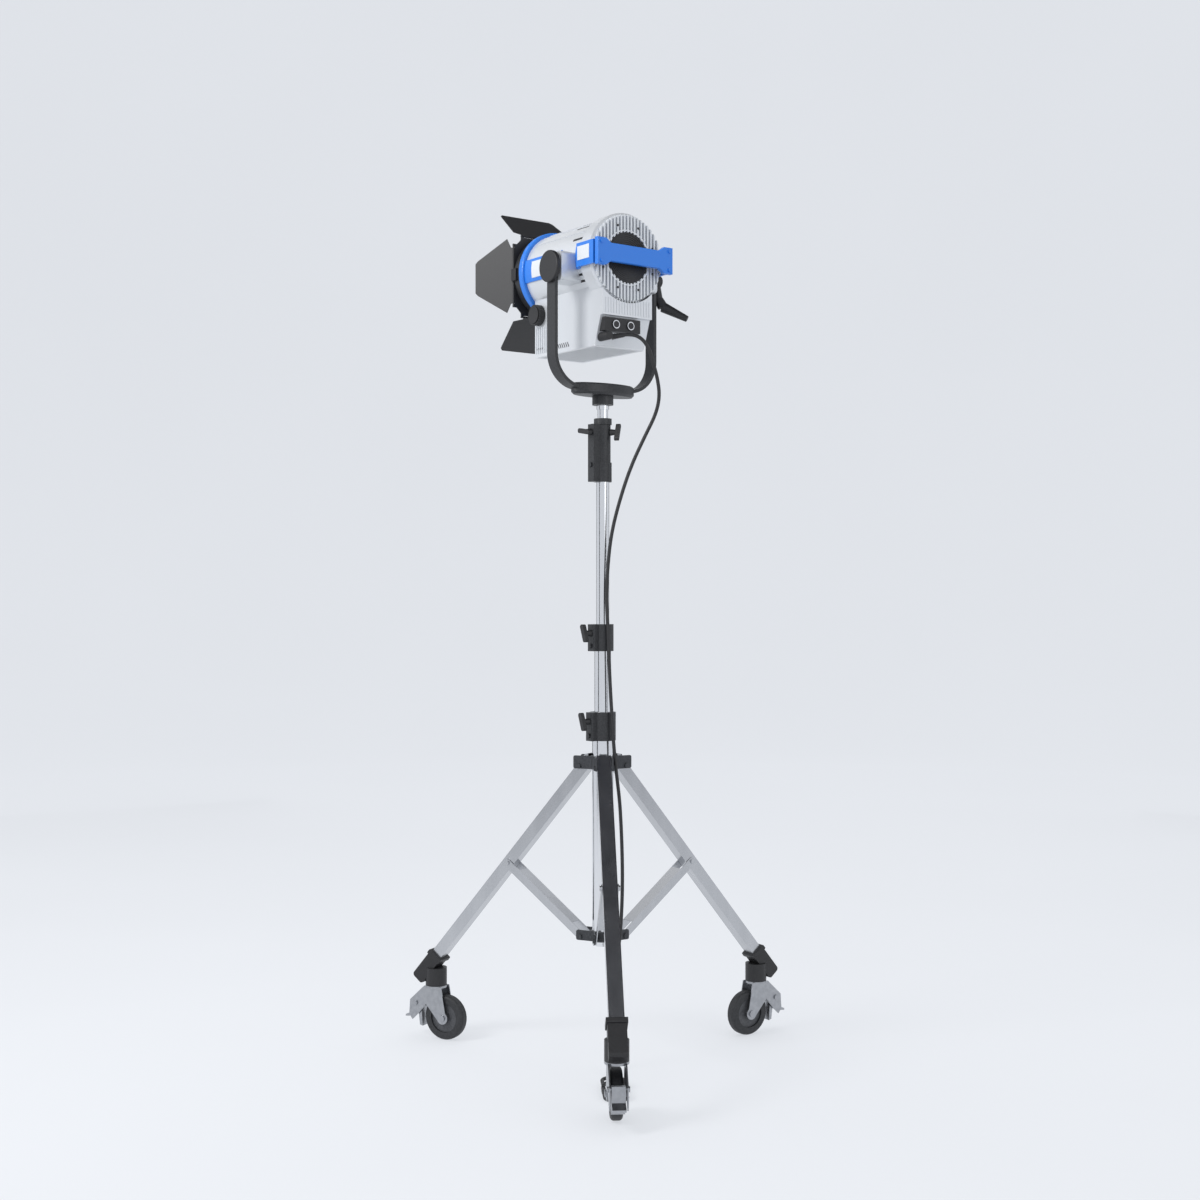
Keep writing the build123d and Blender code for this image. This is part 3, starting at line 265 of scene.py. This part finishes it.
# the turns, as distances along and across the hank and the height
HANK_TURNS = [
    (-76, -4, FIRST_LAYER), (-62, -22, FIRST_LAYER), (-34, -HANK_HALF_WIDTH, FIRST_LAYER),
    (0, -HANK_HALF_WIDTH, FIRST_LAYER), (HANK_RUN, -HANK_HALF_WIDTH, FIRST_LAYER),
    *hank_bend(1, -1, [FIRST_LAYER] * 4),
    (HANK_RUN, HANK_HALF_WIDTH, 5.0), (0, HANK_HALF_WIDTH, 8.5), (-HANK_RUN, HANK_HALF_WIDTH, 14.2),
    *hank_bend(-1, 1, [14.6] + [SECOND_LAYER] * 3),
    (-HANK_RUN, -HANK_HALF_WIDTH, SECOND_LAYER), (HANK_RUN, -HANK_HALF_WIDTH, SECOND_LAYER),
    *hank_bend(1, -1, [SECOND_LAYER] * 2 + [15]),
    (HANK_CORNER, 27, 17), (44, 26, 21), (24, 10, 29), (6, 1, 33.5), (-14, 0, 34),
]


def hank_point(u, v, z):
    """A point of the hank in the row frame, in metres."""
    return HANK_CENTRE + ALONG * (u / 1000) + ACROSS * (v / 1000) + Vector((0, 0, z / 1000))


def nurbs_curve(name, points, radius, mat):
    """A round tube along one NURBS spline through these control points."""
    data = bpy.data.curves.new(name, "CURVE")
    data.dimensions = "3D"
    data.bevel_depth = 1.0  # each point's own radius is the tube's, so the curve's bound box is the tube's too
    data.bevel_resolution = 5
    data.resolution_u = 10
    data.use_fill_caps = True
    spline = data.splines.new("NURBS")
    spline.points.add(len(points) - 1)
    for point, place in zip(spline.points, points):
        point.co = (*place, 1)
        point.radius = radius
    spline.order_u = 3
    spline.use_endpoint_u = True
    data.materials.append(mat)
    obj = bpy.data.objects.new(name, data)
    bpy.context.scene.collection.objects.link(obj)
    return obj


def piece(name, build, mat, smooth=35.0, bevel=0.0):
    """A mesh piece filled by build(bm), with an optional small bevel on its edges."""
    mesh = bpy.data.meshes.new(name)
    bm = bmesh.new()
    build(bm)
    bmesh.ops.recalc_face_normals(bm, faces=bm.faces)
    bm.to_mesh(mesh)
    bm.free()
    mesh.materials.append(mat)
    obj = bpy.data.objects.new(name, mesh)
    bpy.context.scene.collection.objects.link(obj)
    for face in mesh.polygons:
        face.use_smooth = True
    mesh.set_sharp_from_angle(angle=radians(smooth))
    if bevel:
        mod = obj.modifiers.new("edge", "BEVEL")
        mod.width = bevel
        mod.segments = 2
        mod.limit_method = "ANGLE"
    return obj


def cylinder(bm, start, end, r1, r2=None, segments=32):
    """A cylinder or cone between two points."""
    start, end = Vector(start), Vector(end)
    axis = end - start
    matrix = Matrix.Translation((start + end) / 2) @ axis.to_track_quat("Z", "Y").to_matrix().to_4x4()
    bmesh.ops.create_cone(bm, cap_ends=True, segments=segments, radius1=r1,
                          radius2=r1 if r2 is None else r2, depth=axis.length, matrix=matrix)


def block(bm, centre, size, turn=Matrix.Identity(4)):
    """A box about a centre."""
    matrix = Matrix.Translation(centre) @ turn @ Matrix.Diagonal((*size, 1))
    bmesh.ops.create_cube(bm, size=1.0, matrix=matrix)


lead_points = [Vector(p) / 1000 for p in LEAD_ROUTE]
hank_points = [hank_point(*p) for p in HANK_TURNS]
lead = nurbs_curve("mains_lead", lead_points + hank_points, LEAD_DIAMETER / 2, CORD)
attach(lead, "column")
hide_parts("power_cable", "cable_hank")


def spline_samples(obj):
    """Points along a curve's own line, as the mesh of a copy without a bevel gives them."""
    bare = bpy.data.objects.new("bare", obj.data.copy())
    bare.data.bevel_depth = 0.0
    mesh = bpy.data.meshes.new_from_object(bare)
    points = [v.co.copy() for v in mesh.vertices]
    bpy.data.meshes.remove(mesh)
    bpy.data.curves.remove(bare.data)
    return points


samples = spline_samples(lead)

# the strain relief at the lamp's connector: a ribbed boot that tapers onto the lead
BOOT_LENGTH, BOOT_OVERLAP, BOOT_CORE, BOOT_TIP = 0.034, 0.006, 0.0068, 0.0052
RIB_COUNT, RIB_PITCH, RIB_LENGTH, RIB_RADIUS, RIB_TAPER = 5, 0.0065, 0.0045, 0.0085, 0.0006
boot_axis = (samples[6] - samples[0]).normalized()


def build_boot(bm):
    start = samples[0] - boot_axis * BOOT_OVERLAP
    for number in range(RIB_COUNT):
        near = start + boot_axis * (RIB_PITCH * number)
        radius = RIB_RADIUS - RIB_TAPER * number
        cylinder(bm, near, near + boot_axis * RIB_LENGTH, radius, radius - RIB_TAPER / 2)
    cylinder(bm, start, start + boot_axis * BOOT_LENGTH, BOOT_CORE, BOOT_TIP)


boot = piece("lead_boot", build_boot, PLASTIC)
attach(boot, "column")

# the plug lies on the hank; its places along the hank and its height are in mm, and its sizes in metres
plug_turn = Matrix.Rotation(HANK_ANGLE, 4, "Z")
PLUG_CENTRE, PLUG_HEIGHT, PLUG_HALF, PLUG_SLEEVE, COLLAR = -36, 34, 16, 16, 4
PLUG_BLOCK, SLEEVE_RADIUS, SLEEVE_END, COLLAR_RADIUS = (0.034, 0.034, 0.026), 0.011, 0.0062, 0.0125
PIN_OFFSET, PIN_LENGTH, PIN_RADIUS = 6, 18, 0.002


def plug_point(u, v=0):
    """A point of the plug, from how far it is along and across the hank from the plug's centre."""
    return hank_point(PLUG_CENTRE + u, v, PLUG_HEIGHT)


def build_plug(bm):
    block(bm, plug_point(0), PLUG_BLOCK, plug_turn)
    cylinder(bm, plug_point(PLUG_HALF), plug_point(PLUG_HALF + PLUG_SLEEVE), SLEEVE_RADIUS, SLEEVE_END)
    cylinder(bm, plug_point(-PLUG_HALF), plug_point(-PLUG_HALF - COLLAR), COLLAR_RADIUS)


def build_pins(bm):
    face = -PLUG_HALF - COLLAR
    for offset in (-PIN_OFFSET, PIN_OFFSET):
        cylinder(bm, plug_point(face, offset), plug_point(face - PIN_LENGTH, offset), PIN_RADIUS, segments=16)


# two flat bands hold the hank: their distance from its middle, their half width and their heights are in mm
TIE_OFFSET, TIE_HALF_WIDTH, TIE_LOW, TIE_HIGH, TIE_MIDDLE = 6.5, 32.3, 0.8, 20.4, 10.6
TIE_TOP, TIE_SIDE = (0.006, 0.064, 0.0009), (0.006, 0.0009, 0.0195)


def build_tie(bm):
    for u in (-TIE_OFFSET, TIE_OFFSET):
        for z in (TIE_LOW, TIE_HIGH):
            block(bm, hank_point(u, 0, z), TIE_TOP, plug_turn)
        for v in (-TIE_HALF_WIDTH, TIE_HALF_WIDTH):
            block(bm, hank_point(u, v, TIE_MIDDLE), TIE_SIDE, plug_turn)


plug = piece("mains_plug_body", build_plug, PLASTIC, bevel=0.002)
pins = piece("mains_plug_pins", build_pins, BRASS)
tie = piece("hank_tie", build_tie, PLASTIC)
for obj in (plug, pins, tie):
    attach(obj, "column")
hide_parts("mains_plug")

# ---------------------------------------------------------------- details of the lamp
AXIS_HEIGHT, BARREL_RADIUS, RAIL_RADIUS = 2.142, 0.112, 0.116
COVER_FACE, PANEL_FACE, BOX_SIDE, HANDLE_FACE, HANDLE_RISE = 0.110, 0.1104, 0.0818, 0.1405, 0.005
DISC_RADIUS, DISC_FRONT, DISC_BACK, RING_OUTER, RING_INNER = 0.0705, 0.1025, 0.1075, 0.0735, 0.0700
# dark metal for the screws, clips and socket cores, and painted shade for the barrel's slots, the box's louvres
# and the opening behind the rear grille
DARK_METAL_AND_SHADE = finish_material("dark_metal_and_shade", (0.018, 0.018, 0.02), (0.03, 0.03, 0.033), 0.2, 0.45, 400, 0.1)
PLATE = finish_material("blank_plate", (0.62, 0.65, 0.68), (0.68, 0.70, 0.73), 0.1, 0.4, 300, 0.03)
CHROME_RING = finish_material("socket_ring", (0.72, 0.73, 0.75), (0.78, 0.79, 0.81), 1.0, 0.2, 90, 0.0)


def on_head(obj):
    """The piece moves with the lamp."""
    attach(obj, "head")


def ring_band(bm, y0, y1, outer, inner, segments=96):
    """A flat ring round the optical axis, from y0 to y1."""
    loops = []
    for y, radius in ((y0, outer), (y1, outer), (y1, inner), (y0, inner)):
        loops.append([bm.verts.new((radius * cos(2 * pi * k / segments), y,
                                    AXIS_HEIGHT + radius * sin(2 * pi * k / segments))) for k in range(segments)])
    for a, b in zip(loops, loops[1:] + loops[:1]):
        for k in range(segments):
            after = (k + 1) % segments
            bm.faces.new((a[k], a[after], b[after], b[k]))


def build_rear_plate(bm):
    """The bright ring round the fan's grille."""
    ring_band(bm, 0.1085, 0.1108, RING_OUTER, RING_INNER)


def build_grille_and_shade(bm):
    """The grille: raised rings on a closed dark disc, and the disc is painted shade in place of the opening
    behind the grille.
    """
    rings, first, pitch, half_width = 11, 0.011, 0.0052, 0.0014
    cylinder(bm, (0, DISC_FRONT, AXIS_HEIGHT), (0, DISC_BACK, AXIS_HEIGHT), DISC_RADIUS, segments=96)
    for number in range(rings):
        radius = first + pitch * number
        ring_band(bm, 0.107, 0.1088, radius + half_width, radius - half_width)


def build_screws(bm):
    """Eight screws in the rear cover, and the four recessed bolts of the rear handle."""
    circle, screw_radius, screw_height = 0.088, 0.0032, 0.0028
    for k in range(8):
        angle = radians(22.5 + 45 * k)
        x, z = circle * cos(angle), AXIS_HEIGHT + circle * sin(angle)
        cylinder(bm, (x, COVER_FACE, z), (x, COVER_FACE + screw_height, z), screw_radius, segments=16)
    bolt_x, bolt_z, bolt_radius, bolt_height = 0.112, 0.025, 0.0054, 0.0038
    for x in (-bolt_x, bolt_x):
        for rise in (-bolt_z, bolt_z):
            foot = Vector((x, HANDLE_FACE, AXIS_HEIGHT + HANDLE_RISE + rise))
            cylinder(bm, foot, foot + Vector((0, bolt_height, 0)), bolt_radius, segments=20)


def barrel_patch(bm, y0, y1, angle, half_angle, radius, thickness=0.0012, steps=12):
    """A thin curved plate on the barrel, centred on that angle from +X."""
    rows = []
    for y, r in ((y0, radius), (y1, radius), (y1, radius + thickness), (y0, radius + thickness)):
        rows.append([bm.verts.new((r * cos(t), y, AXIS_HEIGHT + r * sin(t))) for t in
                     (radians(angle - half_angle + 2 * half_angle * k / steps) for k in range(steps + 1))])
    for a, b in zip(rows, rows[1:] + rows[:1]):
        for k in range(steps):
            bm.faces.new((a[k], a[k + 1], b[k + 1], b[k]))
    for k in (0, steps):
        bm.faces.new([row[k] for row in rows])


def build_blank_plates(bm):
    """Plain plates on the side rails and on the handle's arms."""
    for angle in (0, 180):
        barrel_patch(bm, -0.170, -0.050, angle, 11, RAIL_RADIUS)
    arm_side, arm_middle, plate_size = 0.1268, 0.085, (0.0012, 0.052, 0.036)
    for side in (1, -1):
        block(bm, (side * arm_side, arm_middle, AXIS_HEIGHT + 0.004), plate_size)


def build_slot_shade(bm):
    """Thin dark strips along the barrel, painted shade in place of its slots, long ones by the rails and thin
    ones on top.
    """
    for angle in (27, -24, -33, 153, 204, 213):
        barrel_patch(bm, 0.004, 0.048, angle, 1.6, BARREL_RADIUS - 0.0006)
    for angle in (52, 64, 128, 116):
        barrel_patch(bm, -0.02, 0.05, angle, 0.9, BARREL_RADIUS - 0.0006)


def build_barrel_ribs(bm):
    """Fine ribs along the top of the barrel."""
    for angle in (40, 58, 70, 82, 98, 110, 122, 140):
        barrel_patch(bm, -0.19, 0.057, angle, 0.5, BARREL_RADIUS - 0.0003, 0.002)


def build_louvre_shade(bm):
    """Two rows of slanted slits near the lower edge of each side of the box, drawn as thin dark plates: painted
    shade in place of the openings.
    """
    pitch, height, slit = 0.009, 1.926, (0.0008, 0.0022, 0.014)
    tilt = Matrix.Rotation(radians(28), 4, "X")
    for side in (1, -1):
        for first, count in ((-0.190, 4), (-0.100, 7)):
            for k in range(count):
                block(bm, (side * BOX_SIDE, first + pitch * k, height), slit, tilt)


def build_panel_ribs(bm):
    """Upright ribs on the rear panel, above the sockets."""
    count, first, pitch, height, rib = 17, -0.072, 0.009, 2.012, (0.0022, 0.0016, 0.040)
    for k in range(count):
        block(bm, (first + pitch * k, PANEL_FACE, height), rib)


def build_door_clips(bm):
    """Four clips round the bezel that hold the barn-door frame."""
    reach, middle, size = 0.1155, -0.254, (0.010, 0.022, 0.034)
    for k in range(4):
        turn = Matrix.Rotation(radians(90 * k), 4, "Y")
        block(bm, Vector((0, 0, AXIS_HEIGHT)) + turn @ Vector((reach, middle, 0)), size, turn)


SOCKET_PLACES, SOCKET_HEIGHT = (0.040, -0.008), 1.9625


def socket_discs(bm, start, end, radius):
    """A disc at each socket of the connector block."""
    for x in SOCKET_PLACES:
        cylinder(bm, (x, start, SOCKET_HEIGHT), (x, end, SOCKET_HEIGHT), radius, segments=40)


def build_sockets(bm):
    socket_discs(bm, 0.1125, 0.1142, 0.0112)


def build_socket_cores(bm):
    socket_discs(bm, 0.1135, 0.1150, 0.0085)


for name, build, mat, slot_name in (
        ("rear_plate", build_rear_plate, SILVER, "rear_cover"),
        ("rear_grille_and_shade", build_grille_and_shade, DARK_METAL_AND_SHADE, "rear_cover"),
        ("rear_screws", build_screws, DARK_METAL_AND_SHADE, "rear_handle"),
        ("blank_plates", build_blank_plates, PLATE, "side_rails"),
        ("barrel_slot_shade", build_slot_shade, DARK_METAL_AND_SHADE, "barrel"),
        ("barrel_ribs", build_barrel_ribs, SILVER, "barrel"),
        ("box_louvre_shade", build_louvre_shade, DARK_METAL_AND_SHADE, "electronics_box"),
        ("panel_ribs", build_panel_ribs, SILVER, "electronics_box"),
        ("socket_rings", build_sockets, CHROME_RING, "connector_block"),
        ("socket_cores", build_socket_cores, DARK_METAL_AND_SHADE, "connector_block")):
    on_head(piece(name, build, mat))
clips = piece("door_clips", build_door_clips, DARK_METAL_AND_SHADE, bevel=0.001)
on_head(clips)


def build_lever(bm):
    """The tilt lock: a washer on the pivot, an arm down from it and a tapered grip outwards."""
    start, elbow = Vector((-0.170, 0, 2.117)), Vector((-0.184, 0.010, 2.060))
    bend, end = Vector((-0.192, 0.018, 2.046)), Vector((-0.240, 0.066, 2.011))
    cylinder(bm, start, start - Vector((0.024, 0, 0)), 0.019, 0.017)
    cylinder(bm, start + Vector((-0.012, 0.002, -0.006)), elbow, 0.0105, 0.0125)
    cylinder(bm, elbow + Vector((0, 0, 0.006)), bend, 0.0130, 0.0145)
    cylinder(bm, bend, end, 0.0145, 0.0085)


lever = piece("tilt_handle", build_lever, PLASTIC, bevel=0.0015)
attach(lever, "tilt_handle")
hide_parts("tilt_lever")

# ---------------------------------------------------------------- hand over
bpy.context.view_layer.update()
